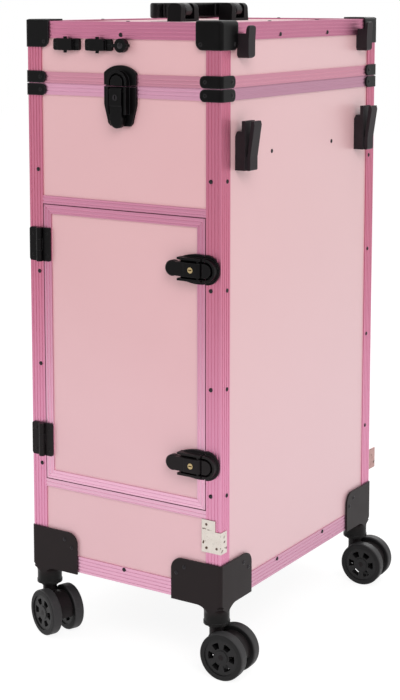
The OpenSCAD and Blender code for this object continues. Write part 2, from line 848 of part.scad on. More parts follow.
// Dome-headed screws, drawn with the head towards +Z
module screw() {
    cylinder(r1 = screw_r, r2 = screw_top_r, h = screw_h);
}
module front_screw(x, z, y) {
    translate([x, -y, z]) rotate([90, 0, 0]) screw();
}
module back_screw(x, z, y) {
    translate([x, y, z]) rotate([-90, 0, 0]) screw();
}
module right_screw(y, z, x) {
    translate([x, y, z]) rotate([0, 90, 0]) screw();
}
module body_screws() {
    foot_marks = [[foot_leg - 7, foot_h - 17], [foot_leg - 17, foot_h - 9]];
    placed() color(black) {
        for (z = post_levels, m = [0, 1]) mirror([m, 0, 0]) {
            front_screw(half_w - post_mid, z, half_d);
            back_screw(half_w - post_mid, z, half_d);
            for (s = [-1, 1]) right_screw(s * (half_d - post_mid), z, half_w);
        }
        for (m = [0, 1]) mirror([m, 0, 0]) for (s = [-1, 1])
            right_screw(s * rail_pair, base_z + rail_mid, half_w);
        front_screw(0, base_z + rail_mid, half_d);
        back_screw(0, base_z + rail_mid, half_d);
        for (s = [-1, 1], m = [0, 1]) mirror([m, 0, 0]) right_screw(s * side_pair, side_level, out_x);
        for (p = foot_marks, m = [0, 1]) mirror([m, 0, 0]) {
            front_screw(half_w - p[0], base_z + p[1], half_d + cap_t);
            back_screw(half_w - p[0], base_z + p[1], half_d + cap_t);
            for (s = [-1, 1]) right_screw(s * (half_d - p[0]), base_z + p[1], half_w + cap_t);
        }
    }
}

// Boards and edging of the lid
lid_low = lid_bottom + strip_t;
lid_wall_top = lid_face_z - panel_t;
module lid_top_panel() {
    placed() color(pink) slab([-out_x, -out_y, lid_wall_top], [out_x, out_y, lid_face_z]);
}
module lid_front_panel() {
    placed() color(pink) slab([-in_x, -out_y, lid_low], [in_x, -in_y, lid_wall_top]);
}
module lid_back_panel() {
    placed() color(pink) slab([-in_x, in_y, lid_low], [in_x, out_y, lid_wall_top]);
}
module lid_side_panels() {
    placed() color(pink) for (m = [0, 1])
        mirror([m, 0, 0]) slab([in_x, -out_y, lid_low], [out_x, out_y, lid_wall_top]);
}
module lid_rails() {
    placed() color(rose) {
        translate([0, 0, lid_bottom]) edge_ring(case_w, case_d, edge_t, split_rail_h);
        translate([0, 0, top_z]) mirror([0, 0, 1]) edge_ring(case_w, case_d, strip_w, strip_w);
    }
}
module lid_corner_posts() {
    placed() color(rose) posts(lid_bottom + split_rail_h, top_z - strip_w);
}
module cap_plan() {
    difference() {
        translate([-cap_leg, -cap_leg]) square(cap_leg + cap_t);
        translate([-cap_leg, -cap_leg]) nib(cap_round);
        translate([cap_t, cap_t]) rotate(180) nib(corner_round);
    }
}
// All that lies under a rounded top edge along X
module cap_brow() {
    top = cap_drop + cap_t;
    translate([-cap_leg - 1, 0, 0]) rotate([90, 0, 90]) linear_extrude(cap_leg + cap_t + 2)
        difference() {
            translate([-cap_leg - 1, -1]) square([cap_leg + 1 + cap_t, top + 1]);
            translate([cap_t, top]) rotate(180) nib(corner_round);
        }
}
module lid_corner_caps() {
    placed() color(black) four_corners(half_w, half_d) translate([0, 0, top_z - cap_drop]) {
        intersection() {
            union() {
                wrap(cap_leg, cap_drop + cap_t, cap_round, 0);
                translate([0, 0, cap_drop]) linear_extrude(cap_t) cap_plan();
            }
            cap_brow();
            mirror([1, -1, 0]) cap_brow();
        }
        rivet_on_legs(cap_leg - rivet_in, rivet_in);
    }
}
module lid_edge_clips() {
    placed() color(black) edge_clips(lid_bottom);
}

// Carry handle: a bow that lies flat to the left and swings over between two brackets
module bracket_side() {
    slope = bracket_l / 2 - bracket_slope;
    polygon([[-bracket_l / 2, 0], [bracket_l / 2, 0], [slope, bracket_h], [-slope, bracket_h]]);
}
module bracket() {
    slot_w = bow_arm_w + 2 * bow_side;
    difference() {
        intersection() {
            rotate([90, 0, 0]) linear_extrude(bracket_l, center = true) difference() {
                translate([-bracket_w / 2, 0]) square([bracket_w, bracket_h]);
                for (m = [0, 1]) mirror([m, 0]) translate([bracket_w / 2, bracket_h]) rotate(180)
                    nib(bracket_round);
            }
            rotate([90, 0, 90]) linear_extrude(bracket_w, center = true) bracket_side();
        }
        translate([-bracket_w, -slot_w / 2, bracket_foot]) cube([2 * bracket_w, slot_w, bracket_h]);
    }
    translate([0, 0, bow_pivot_z - lid_face_z]) rotate([90, 0, 0])
        cylinder(r = bow_pin_r, h = slot_w + 2, center = true);
}
module handle_brackets() {
    placed() color(black) for (s = [-1, 1])
        translate([0, s * bracket_span / 2, lid_face_z]) bracket();
}
module bow_plan() {
    arm_start = bow_reach - grip_w / 2;
    translate([-arm_start, 0]) round_rect(grip_w, grip_l, grip_round);
    for (s = [-1, 1]) translate([-arm_start, s * bracket_span / 2 - bow_arm_w / 2])
        square([arm_start, bow_arm_w]);
}
module carry_handle() {
    placed() color(black) translate([0, 0, bow_pivot_z]) difference() {
        union() {
            intersection() {
                translate([0, 0, -bow_t / 2]) linear_extrude(bow_t) bow_plan();
                translate([-bow_reach / 2, 0, 0]) rotate([90, 0, 0])
                    linear_extrude(grip_l, center = true) round_rect(bow_reach, bow_t, bow_round);
            }
            for (s = [-1, 1]) translate([0, s * bracket_span / 2, 0]) rotate([90, 0, 0])
                cylinder(r = bow_t / 2, h = bow_arm_w, center = true);
        }
        for (s = [-1, 1]) translate([0, s * bracket_span / 2, 0]) rotate([90, 0, 0])
            cylinder(r = bow_pin_r + run, h = bow_arm_w + 2, center = true);
    }
}

// Two small clips and a turn button on the front of the lid
module front_clips() {
    placed() color(black) for (x = clip_xs) translate([x, -out_y, front_clip_z]) rotate([90, 0, 0]) {
        linear_extrude(clip_foot_t) round_rect(clip_w, clip_face_h, 2.5);
        linear_extrude(clip_t) round_rect(clip_w * clip_body, clip_face_h, 1.5);
        translate([0, 0, clip_pin_h]) rotate([90, 0, 0])
            cylinder(r = clip_pin_r, h = clip_pin_l, center = true);
        for (s = [-1, 1]) translate([s * clip_w * (1 + clip_body) / 4, 0, clip_foot_t])
            cylinder(r1 = rivet_r, r2 = rivet_r * 0.7, h = rivet_h);
    }
}
module turn_button() {
    placed() color(black) translate([button_x, -out_y - button_back, front_clip_z]) rotate([90, 0, 0])
        difference() {
            linear_extrude(button_t) {
                circle(button_r);
                polygon([[0, button_root], [-button_point, button_tip], [-button_point, -button_tip],
                    [0, -button_root], [button_nose, -button_tip], [button_nose, button_tip]]);
            }
            translate([0, 0, -1]) cylinder(r = button_pin_r + run, h = button_t + 2);
        }
}
module lid_screws() {
    placed() color(black) {
        front_screw(0, top_z - lid_rail_mid, half_d);
        back_screw(0, top_z - lid_rail_mid, half_d);
        for (m = [0, 1]) mirror([m, 0, 0]) for (s = [-1, 1]) {
            right_screw(s * rail_pair, top_z - lid_rail_mid, half_w);
            translate([half_w - lid_rail_mid, s * rail_pair, top_z]) screw();
        }
        for (s = [-1, 1]) translate([0, s * (half_d - lid_rail_mid), top_z]) screw();
        translate([button_x, -out_y, front_clip_z]) rotate([90, 0, 0]) {
            cylinder(r = button_seat_r, h = button_back - run);
            cylinder(r = button_pin_r, h = button_back + button_t + button_head_h);
            translate([0, 0, button_back + button_t + run])
                cylinder(r1 = button_head_r, r2 = button_pin_r, h = button_head_h);
        }
    }
}

// Door: a board in a mitred frame
module door_panel() {
    placed() color(pink) slab([-door_x + strip_t, -out_y, door_z + door_gap + strip_t],
        [door_x - strip_t, -in_y, door_top - door_gap - strip_t]);
}
module door_frame() {
    placed() color(rose) translate([0, -half_d, door_mid_z]) rotate([-90, 0, 0])
        edge_ring(2 * door_x, door_h - 2 * door_gap, door_strip_w, edge_t);
}

// Casters: a fork that swivels on the stem and two wheels on one axle, trailing along +X
module at_caster(i) {
    c = casters[i];
    placed() translate([c[0] * stem_x, c[1] * stem_y, 0]) rotate(c[2]) children();
}
module fork() {
    difference() {
        union() {
            translate([0, 0, wheel_r]) cylinder(r = neck_r, h = fork_top - wheel_r);
            translate([0, 0, fork_top - flange_h]) cylinder(r = flange_r, h = flange_h);
            rotate([90, 0, 0]) linear_extrude(2 * neck_r, center = true) {
                intersection() {
                    translate([trail, wheel_r]) circle(fender_r);
                    translate([-ample / 2, wheel_r - fender_low]) square(ample);
                }
                translate([trail, wheel_r]) circle(boss_r);
                translate([-neck_r * 0.7, wheel_r]) square([trail, fender_r * 0.8]);
            }
            translate([trail, 0, wheel_r]) rotate([90, 0, 0])
                cylinder(r = axle_r, h = 2 * pair_half - 1, center = true);
        }
        translate([0, 0, fork_top - stem_low - 1]) cylinder(r = stem_r + run, h = stem_low + 2);
    }
}
module wheel_profile() {
    difference() {
        union() {
            translate([axle_r + run, (wheel_w - web_t) / 2]) square([wheel_r - rim_w, web_t]);
            translate([axle_r + run, hub_inset]) square([hub_r - axle_r, wheel_w - 2 * hub_inset]);
            translate([wheel_r - rim_w, 0]) square([rim_w, wheel_w]);
        }
        translate([wheel_r, 0]) mirror([1, 0]) nib(wheel_fillet);
        translate([wheel_r, wheel_w]) rotate(180) nib(wheel_fillet);
    }
}
module wheel() {
    difference() {
        rotate_extrude() wheel_profile();
        for (i = [0 : spoke_holes - 1]) rotate(360 / spoke_holes * i)
            translate([0, 0, -1]) linear_extrude(wheel_w + 2) intersection() {
                difference() {
                    circle(hole_out_r);
                    circle(hole_in_r);
                }
                polygon([[0, 0], [wheel_r, hole_spread], [wheel_r, -hole_spread]]);
            }
    }
}
module wheel_at(i, side) {
    color(black) at_caster(i) translate([trail, side * wheel_gap / 2, wheel_r])
        rotate([-90 * side, 0, 0]) wheel();
}
module caster_fork_fl() { color(black) at_caster(0) fork(); }
module caster_fork_fr() { color(black) at_caster(1) fork(); }
module caster_fork_br() { color(black) at_caster(2) fork(); }
module caster_fork_bl() { color(black) at_caster(3) fork(); }

left_panel();
right_panel();
back_panel();
front_panel();
bottom_panel();
compartment_floor();
shelf_board();
battens();
corner_posts();
body_rails();
door_cross_rails();
foot_brackets();
caster_stems();
body_edge_clips();
lid_latch_base();
door_latch_keepers();
door_hinge_frame_leaves();
lid_hinge_body_leaves();
tray_sockets();
corner_plate();
rear_bracket();
body_screws();
lid_top_panel();
lid_front_panel();
lid_back_panel();
lid_side_panels();
lid_rails();
lid_corner_posts();
lid_corner_caps();
lid_edge_clips();
handle_brackets();
tray_hooks();
front_clips();
lid_latch_keeper();
lid_hinge_leaves();
lid_screws();
carry_handle();
turn_button();
door_panel();
door_frame();
door_hinge_leaves();
door_latch_bases();
lid_latch_lever();
lid_latch_plug();
upper_latch_lever();
upper_latch_plug();
lower_latch_lever();
lower_latch_plug();
caster_fork_fl();
caster_fork_fr();
caster_fork_br();
caster_fork_bl();
wheel_at(0, -1);  // wheel_fl_a
wheel_at(0, 1);  // wheel_fl_b
wheel_at(1, -1);  // wheel_fr_a
wheel_at(1, 1);  // wheel_fr_b
wheel_at(2, -1);  // wheel_br_a
wheel_at(2, 1);  // wheel_br_b
wheel_at(3, -1);  // wheel_bl_a
wheel_at(3, 1);  // wheel_bl_b
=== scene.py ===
import json
import math

import bpy
import numpy as np
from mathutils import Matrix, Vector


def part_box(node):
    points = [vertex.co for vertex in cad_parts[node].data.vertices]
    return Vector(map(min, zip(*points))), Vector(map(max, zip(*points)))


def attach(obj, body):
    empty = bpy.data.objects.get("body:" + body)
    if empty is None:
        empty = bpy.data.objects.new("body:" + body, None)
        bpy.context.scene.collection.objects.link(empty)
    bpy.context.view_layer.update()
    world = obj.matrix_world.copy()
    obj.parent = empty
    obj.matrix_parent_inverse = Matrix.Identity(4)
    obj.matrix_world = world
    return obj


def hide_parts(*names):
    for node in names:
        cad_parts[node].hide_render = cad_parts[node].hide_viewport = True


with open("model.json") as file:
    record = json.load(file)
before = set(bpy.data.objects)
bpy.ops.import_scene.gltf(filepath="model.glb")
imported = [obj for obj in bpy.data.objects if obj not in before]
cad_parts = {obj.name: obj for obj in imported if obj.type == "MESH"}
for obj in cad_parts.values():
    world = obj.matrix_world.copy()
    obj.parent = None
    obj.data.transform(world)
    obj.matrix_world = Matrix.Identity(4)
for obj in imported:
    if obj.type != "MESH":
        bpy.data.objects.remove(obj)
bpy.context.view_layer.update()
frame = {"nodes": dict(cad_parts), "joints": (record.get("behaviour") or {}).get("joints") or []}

# Studio: a long-lens camera just above the lid, off the right front corner, a pale floor that keeps
# the shadow, and a white backdrop that metal and plastic also see in their reflections.
case_low, case_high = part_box("body_rails")
case_mid = [(case_low[i] + case_high[i]) / 2 for i in range(3)]
lid_low, lid_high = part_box("lid_rails")
scene = bpy.context.scene
scene.view_settings.view_transform = "Standard"
lens_px, long_side_px, axis_row_px, sensor_mm = 1561.1, 700, 200, 36
camera_right, camera_front, camera_above = 0.9687, 1.53474, 0.027
camera_at = (case_mid[0] + camera_right, case_mid[1] - camera_front, lid_high[2] + camera_above)
camera_yaw, camera_pitch = math.radians(32.588), math.radians(-7.445)
camera = bpy.data.objects.new("camera", bpy.data.cameras.new("camera"))
scene.collection.objects.link(camera)
camera.location = camera_at
camera.rotation_euler = (math.pi / 2 + camera_pitch, 0, camera_yaw)
camera.data.sensor_width = sensor_mm
camera.data.lens = lens_px * sensor_mm / long_side_px
camera.data.shift_y = (axis_row_px - long_side_px / 2) / long_side_px
camera.data.clip_start = 0.05
scene.camera = camera


def linear(hexed):
    """sRGB hex to linear RGBA: c / 12.92 up to 0.04045, above it ((c + 0.055) / 1.055) ^ 2.4."""
    c = np.array([int(hexed[i:i + 2], 16) for i in (1, 3, 5)]) / 255
    c = np.where(c <= 0.04045, c / 12.92, ((c + 0.055) / 1.055) ** 2.4)
    return (*c.tolist(), 1)


def add(tree, kind, inputs=None, **settings):
    """Adds a node: settings go on the node, inputs on its sockets, where an output becomes a link."""
    made = tree.nodes.new("ShaderNode" + kind)
    for name, value in settings.items():
        setattr(made, name, value)
    for name, value in (inputs or {}).items():
        if isinstance(value, bpy.types.NodeSocket):
            tree.links.new(value, made.inputs[name])
        else:
            made.inputs[name].default_value = value
    return made


def lamp(name, at, aim, size, watts):
    """A square soft box of that side at a point, its face turned to the aim point."""
    light = bpy.data.objects.new(name, bpy.data.lights.new(name, "AREA"))
    light.data.size = size
    light.data.energy = watts
    way = np.subtract(aim, at)
    flat = math.hypot(way[0], way[1])
    light.location = at
    light.rotation_euler = (math.atan2(flat, -way[2]), 0, math.atan2(-way[0], way[1]))
    scene.collection.objects.link(light)


lamp("key_box", (1.55, -1.6, 1.9), (0, 0, 0.35), 1.3, 29)
lamp("fill_box", (-1.9, -1.6, 1.2), (0, 0, 0.35), 1.6, 7.5)
lamp("side_box", (2.2, 0.4, 1.1), (0.1, 0, 0.35), 1.2, 1.0)
lamp("top_box", (0.1, 0.3, 2.3), (0, 0, 0.5), 1.2, 7.5)
lamp("back_box", (-0.35, 2.3, 1.0), (0, 0, 0.35), 0.8, 12)
lamp("left_box", (-2.3, 0.3, 1.0), (0, 0, 0.35), 0.8, 5)

# Reflections see a room that is dim in front of the case and bright behind it, and plain light is soft.
room_front, room_back, room_plain = 0.27, 1.08, 0.55
world = bpy.data.worlds.new("white_studio")
scene.world = world
world.use_nodes = True
sky = world.node_tree
sky.nodes.clear()
ray = add(sky, "LightPath")
way = add(sky, "SeparateXYZ", {0: add(sky, "TexCoord").outputs["Generated"]})
depth = add(sky, "MapRange", {0: way.outputs["Y"], 1: -0.7, 2: 0.6, 3: room_front, 4: room_back})
seen = add(sky, "Math", {0: ray.outputs["Is Camera Ray"], 1: ray.outputs["Is Transmission Ray"]},
           operation="MAXIMUM")
glossy = add(sky, "Math", {0: ray.outputs["Is Glossy Ray"], 1: depth.outputs[0]}, operation="MULTIPLY")
plain = add(sky, "Math", {0: ray.outputs["Is Diffuse Ray"], 1: room_plain}, operation="MULTIPLY")
level = add(sky, "Math", {0: seen.outputs[0], 1: glossy.outputs[0]}, operation="MAXIMUM")
level = add(sky, "Math", {0: level.outputs[0], 1: plain.outputs[0]}, operation="MAXIMUM")
add(sky, "OutputWorld", {0: add(sky, "Background", {0: (1, 1, 1, 1), 1: level.outputs[0]}).outputs[0]})

floor_half, glow_share, glow_level = 6.0, 0.75, 1.17
corner = np.array([[-1, -1, 0], [1, -1, 0], [1, 1, 0], [-1, 1, 0]]) * floor_half
floor = bpy.data.objects.new("studio_floor", bpy.data.meshes.new("studio_floor"))
floor.data.from_pydata(corner.tolist(), [], [(0, 1, 2, 3)])
scene.collection.objects.link(floor)
paper = bpy.data.materials.new("white_paper_floor")
paper.use_nodes = True
tree = paper.node_tree
tree.nodes.clear()
ray = add(tree, "LightPath")
sharp = add(tree, "Math", {0: ray.outputs["Is Glossy Ray"], 1: ray.outputs["Is Transmission Ray"]},
            operation="MAXIMUM")
sharp = add(tree, "Math", {0: sharp.outputs[0], 1: ray.outputs["Is Camera Ray"]}, operation="MAXIMUM")
lit = add(tree, "Math", {0: sharp.outputs[0], 1: glow_share}, operation="MULTIPLY")
matt = add(tree, "BsdfDiffuse", {"Color": linear("#F4F3F2")})
glow = add(tree, "Emission", {"Color": (1, 1, 1, 1), "Strength": glow_level})
both = add(tree, "MixShader", {0: lit.outputs[0], 1: matt.outputs[0], 2: glow.outputs[0]})
add(tree, "OutputMaterial", {0: both.outputs[0]})
floor.data.materials.append(paper)

# Boards: five-millimetre fibreboard faced with a smooth matt pink polyester film and lined inside with
# dark flock, cut square and held by the edging. The film is faintly cloudy, with a fine pebble, and
# the lid's top, which takes the most handling, is duller than the walls. Lower down the film is painted
# paler, as painted light from the white floor.
MM = 0.001


def surface(name):
    """A new material with an empty tree; returns it, its tree and its Object coordinates."""
    made = bpy.data.materials.new(name)
    made.use_nodes = True
    made.node_tree.nodes.clear()
    return made, made.node_tree, add(made.node_tree, "TexCoord").outputs["Object"]


def dress(material, *names):
    """Puts one material on the named CAD nodes."""
    for name in names:
        node = frame["nodes"][name]
        node.data.materials.clear()
        node.data.materials.append(material)


def painted_low_tone_share(tree, at, high=0.495, low=0.175):
    """How much of a painted low tone a surface takes by height: 0 above high, 1 below low, a smooth step
    between. At the default heights it is painted light from the white floor.
    """
    height = add(tree, "SeparateXYZ", {0: at}).outputs[2]
    return add(tree, "MapRange", {0: height, 1: high, 2: low, 3: 0.0, 4: 1.0},
               interpolation_type="SMOOTHSTEP").outputs[0]


def flock(tree, at):
    """Dark flock, clouded in tufts of 2.5 mm between two tones; returns the tufts and their colour."""
    tuft = add(tree, "TexNoise", {"Vector": at, "Scale": 1 / (2.5 * MM), "Detail": 6.0, "Roughness": 0.7})
    tone = add(tree, "Mix", {"Factor": tuft.outputs["Fac"], "A": linear("#2B2729"), "B": linear("#463F42")},
               data_type="RGBA")
    return tuft.outputs["Fac"], tone.outputs["Result"]


wall, skim, flock_matt = 6.5 * MM, 0.1 * MM, 0.9
case_half = [(case_high[i] - case_low[i]) / 2 for i in range(3)]
lid_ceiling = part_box("lid_top_panel")[0][2]
# The second pair of film tones is painted light from the white floor, taken on lower down.
film_high, film_floor_lit = ("#DCA5AA", "#E2AFB3"), ("#E0ACB4", "#E6B6BD")


def faced(name, satin, shine, gloss):
    """Film outside and flock inside: a point is inside where it is nearer the middle than the wall on x and
    y, and below the lid's ceiling. The film is painted paler near the floor, as painted light from the white
    floor, and has that range of roughness, specular level and coat."""
    made, tree, at = surface(name)
    parts = add(tree, "SeparateXYZ", {0: at})
    inner = add(tree, "Math", {0: parts.outputs[2], 1: lid_ceiling + skim}, operation="LESS_THAN")
    for axis in (0, 1):
        off = add(tree, "Math", {0: parts.outputs[axis], 1: case_mid[axis]}, operation="SUBTRACT")
        off = add(tree, "Math", {0: off.outputs[0]}, operation="ABSOLUTE")
        near = add(tree, "Math", {0: off.outputs[0], 1: case_half[axis] - wall + skim},
                   operation="LESS_THAN")
        inner = add(tree, "Math", {0: inner.outputs[0], 1: near.outputs[0]}, operation="MULTIPLY")
    inner = inner.outputs[0]
    cloud = add(tree, "TexNoise", {"Vector": at, "Scale": 1 / (140 * MM), "Detail": 3.0, "Roughness": 0.55})
    films = [add(tree, "Mix", {"Factor": cloud.outputs["Fac"], "A": linear(deep), "B": linear(pale)},
                 data_type="RGBA").outputs["Result"] for deep, pale in (film_high, film_floor_lit)]
    # Painted light from the white floor: the film turns to its paler pair lower down.
    film = add(tree, "Mix", {"Factor": painted_low_tone_share(tree, at), "A": films[0], "B": films[1]}, data_type="RGBA")
    tone = add(tree, "Mix", {"Factor": inner, "A": film.outputs["Result"], "B": flock(tree, at)[1]},
               data_type="RGBA")
    rough = add(tree, "MapRange", {0: cloud.outputs["Fac"], 1: 0.3, 2: 0.7, 3: satin[0], 4: satin[1]})
    rough = add(tree, "MapRange", {0: inner, 1: 0.0, 2: 1.0, 3: rough.outputs[0], 4: flock_matt})
    coat = add(tree, "MapRange", {0: inner, 1: 0.0, 2: 1.0, 3: gloss, 4: 0.0})
    pebble = add(tree, "TexNoise", {"Vector": at, "Scale": 1 / (1.6 * MM), "Detail": 2.0})
    soft = add(tree, "Bevel", {"Radius": 0.5 * MM}, samples=6)
    bump = add(tree, "Bump", {"Height": pebble.outputs["Fac"], "Strength": 0.05, "Distance": 0.2 * MM,
                              "Normal": soft.outputs[0]})
    skin = add(tree, "BsdfPrincipled", {"Base Color": tone.outputs["Result"], "Roughness": rough.outputs[0],
                                        "Normal": bump.outputs[0], "IOR": 1.6, "Specular IOR Level": shine,
                                        "Coat Weight": coat.outputs[0], "Coat Roughness": 0.35,
                                        "Coat IOR": 1.6, "Sheen Weight": 0.45, "Sheen Roughness": 0.5})
    add(tree, "OutputMaterial", {0: skin.outputs[0]})
    return made


dress(faced("polyester_faced_fibreboard", (0.4, 0.48), 0.5, 1.0), "left_panel", "right_panel", "back_panel",
      "front_panel", "lid_front_panel", "lid_back_panel", "lid_side_panels", "door_panel")
dress(faced("dull_polyester_faced_fibreboard", (0.72, 0.8), 0.25, 0.05), "lid_top_panel")

# Inner boards: bottom, compartment floor, shelf and their battens, bare fibreboard with a dark
# flocked lining rolled on, so they are matt and slightly uneven.
lining, tree, at = surface("flocked_fibreboard")
tuft, tone = flock(tree, at)
bump = add(tree, "Bump", {"Height": tuft, "Strength": 0.35, "Distance": 0.4 * MM})
skin = add(tree, "BsdfPrincipled", {"Base Color": tone, "Roughness": flock_matt,
                                    "Normal": bump.outputs[0], "Sheen Weight": 0.3})
add(tree, "OutputMaterial", {0: skin.outputs[0]})
dress(lining, "bottom_panel", "compartment_floor", "shelf_board", "battens")

# Edging: extruded aluminium angle with ribs along both legs, mitred at the corners and dyed rose in
# the anodising bath. The die leaves fine streaks along the length, which pull highlights out. The rose
# is painted paler towards the floor as a painted reflection of the white floor, and on the lid just above
# the split as a painted highlight. The grooves are painted lighter against their shade, the rib crests
# lighter with edge wear and a painted highlight, and the side lengths darker as painted shade.
# The crest colour is edge wear and a painted highlight on the rib crests.
streak_long, streak_wide, crest_wear_and_highlight_pink = 80, 0.5 * MM, "#F6DCE8"
door_low, door_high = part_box("door_frame")
door_mid = [(door_low[i] + door_high[i]) / 2 for i in range(3)]
door_half = [(door_high[i] - door_low[i]) / 2 for i in range(3)]


def edges(tree, radius):
    """Normal rounded within that radius, and a mask of the edges: how far the rounded normal leans from
    the flat one, as one minus their dot product, spread over 0.02 to 0.2."""
    soft = add(tree, "Bevel", {"Radius": radius}, samples=6).outputs[0]
    flat = add(tree, "NewGeometry").outputs["True Normal"]
    same = add(tree, "VectorMath", {0: soft, 1: flat}, operation="DOT_PRODUCT")
    return soft, add(tree, "MapRange", {0: same.outputs["Value"], 1: 0.98, 2: 0.8, 3: 0.0, 4: 1.0}).outputs[0]


def anodised(name, dye_and_painted_light, groove, ribs, first, second=None, middle=None, half=None, painted_side_shade=(1.0, 1.0), *fade):
    """Rose anodised aluminium drawn along axis first, from the first colour up high to the second, paler one
    near the floor, or over the heights fade: that paler colour is painted light. The groove factor multiplies
    the colour between the ribs where ambient occlusion finds them, and above 1 it is painted light lifting
    their shade. The ribs factor lightens their crests, edge wear and a painted highlight. With a second axis,
    a frame mitred at 45 degrees changes over where |p - middle| - half is equal on both axes, and the side
    pair multiplies the colour on the second axis's lengths, high and low, as painted shade."""
    made, tree, at = surface(name)
    parts = add(tree, "SeparateXYZ", {0: at})
    streaks = []
    for along in (first,) if second is None else (first, second):
        stretch = [1.0, 1.0, 1.0]
        stretch[along] = 1 / streak_long
        drawn = add(tree, "Mapping", {"Vector": at, "Scale": stretch})
        streaks.append(add(tree, "TexNoise", {"Vector": drawn.outputs[0], "Scale": 1 / streak_wide,
                                              "Detail": 2.0}))
    streak = streaks[0].outputs["Fac"]
    if second is not None:
        reach = []
        for axis in (first, second):
            off = add(tree, "Math", {0: parts.outputs[axis], 1: middle[axis]}, operation="SUBTRACT")
            off = add(tree, "Math", {0: off.outputs[0]}, operation="ABSOLUTE")
            reach.append(add(tree, "Math", {0: off.outputs[0], 1: half[axis]}, operation="SUBTRACT"))
        side = add(tree, "Math", {0: reach[0].outputs[0], 1: reach[1].outputs[0]}, operation="GREATER_THAN")
        streak = add(tree, "Mix", {0: side.outputs[0], 2: streak, 3: streaks[1].outputs["Fac"]})
        streak = streak.outputs[0]
    # Painted light: lower down the colour turns to its paler second one.
    lower_painted_light = painted_low_tone_share(tree, at, *fade)
    dye_with_painted_light = add(tree, "Mix", {"Factor": lower_painted_light, "A": linear(dye_and_painted_light[0]), "B": linear(dye_and_painted_light[1])}, data_type="RGBA")
    # Painted light in the grooves: where ambient occlusion finds them, the colour is multiplied by the groove
    # factor, which is above 1 and lifts their shade.
    shade = add(tree, "AmbientOcclusion", {"Distance": 1.6 * MM}, samples=6, only_local=True)
    depth = add(tree, "MapRange", {0: shade.outputs["AO"], 1: 0.55, 2: 0.95, 3: groove, 4: 1.0})
    grain = add(tree, "MapRange", {0: streak, 1: 0.3, 2: 0.7, 3: 0.985, 4: 1.015})
    level = add(tree, "Math", {0: depth.outputs[0], 1: grain.outputs[0]}, operation="MULTIPLY")
    # Painted shade: the second axis's lengths are darkened by the side pair, high and low.
    if second is not None:
        side_shade = add(tree, "MapRange", {0: lower_painted_light, 1: 0.0, 2: 1.0, 3: painted_side_shade[0], 4: painted_side_shade[1]})
        side_shade = add(tree, "Mix", {0: side.outputs[0], 2: 1.0, 3: side_shade.outputs[0]})
        level = add(tree, "Math", {0: level.outputs[0], 1: side_shade.outputs[0]}, operation="MULTIPLY")
    tone = add(tree, "VectorMath", {0: dye_with_painted_light.outputs["Result"], "Scale": level.outputs[0]}, operation="SCALE")
    soft, edge = edges(tree, 0.4 * MM)
    # Rib crests are mixed towards near-white pink: edge wear and a painted highlight.
    crest = add(tree, "Math", {0: edge, 1: ribs}, operation="MULTIPLY")
    bright = add(tree, "Mix", {"Factor": crest.outputs[0], "A": tone.outputs[0], "B": linear(crest_wear_and_highlight_pink)},
                 data_type="RGBA")
    rough = add(tree, "MapRange", {0: streak, 1: 0.3, 2: 0.7, 3: 0.38, 4: 0.48})
    bump = add(tree, "Bump", {"Height": streak, "Strength": 0.02, "Distance": 0.1 * MM, "Normal": soft})
    skin = add(tree, "BsdfPrincipled", {"Base Color": bright.outputs["Result"], "Metallic": 1.0,
                                        "Roughness": rough.outputs[0], "Normal": bump.outputs[0]})
    add(tree, "OutputMaterial", {0: skin.outputs[0]})
    return made


# Each pair is the anodised colour up high and its paler painted light low down.
upright = ("#D17E98", "#E39DBC")
crown = ("#D082A0", "#D695A9")
skirt = ("#E3A9C3", "#E7B0C9")
crossing = ("#D591AC", "#E7B5CB")
casing = ("#D591AC", "#F0BCD3")
# On the lid the paler colour is a painted highlight over these heights just above the split.
split_fade = (lid_low[2] + 30 * MM, lid_low[2] + 15 * MM)
# Groove factors above 1 are painted light in the grooves.
dress(anodised("anodised_aluminium_upright", upright, 1.05, 0.1, 2), "corner_posts", "lid_corner_posts")
# The last pairs of factors are painted shade on the side lengths.
dress(anodised("anodised_aluminium_lid", crown, 1.2, 0.3, 0, 1, case_mid, case_half, (0.84, 0.9),
               *split_fade), "lid_rails")
skirting = anodised("anodised_aluminium_body", skirt, 1.1, 0.1, 0, 1, case_mid, case_half, (0.66, 0.82))
dress(skirting, "body_rails")
dress(anodised("anodised_aluminium_cross", crossing, 1.25, 0.0, 0), "door_cross_rails")
dress(anodised("anodised_aluminium_door", casing, 1.25, 0.0, 0, 2, door_mid, door_half,
               (0.93, 0.93)), "door_frame")

